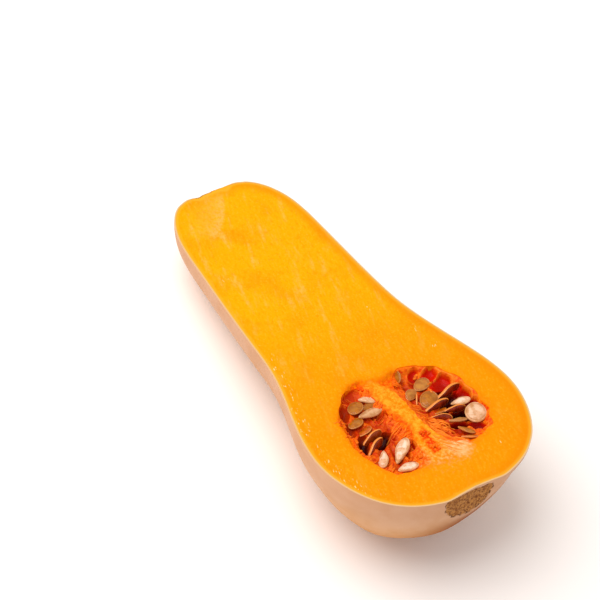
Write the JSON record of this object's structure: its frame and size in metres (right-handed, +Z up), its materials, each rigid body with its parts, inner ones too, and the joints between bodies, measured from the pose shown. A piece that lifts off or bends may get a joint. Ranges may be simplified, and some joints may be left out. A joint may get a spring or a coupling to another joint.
{
  "type": "halved butternut squash",
  "caption": "Butternut squash cut in half lengthwise, lying on its round back, with its seeds and pulp in the bulb under the flat cut face.",
  "frame": {"origin": "middle of the bounding box in plan, at the surface that the half lies on", "axes": "+X from the stem end to the blossom end, +Z up; the cut face is up and leans 8.3 degrees, with the stem end the lower"},
  "size_m": [0.2496, 0.1238, 0.0689],
  "materials": {
    "flesh": "freshly cut firm orange flesh, moist, with a dull satin sheen",
    "rind": "smooth tan rind with a soft waxy bloom",
    "pulp": "wet stringy orange-red pulp",
    "seed": "pale seeds with a thin wet skin"
  },
  "bodies": {
    "root": {"squash_half": "flesh", "seed_bed_back": "pulp", "seed_bed_front": "pulp"}
  },
  "joints": []
}
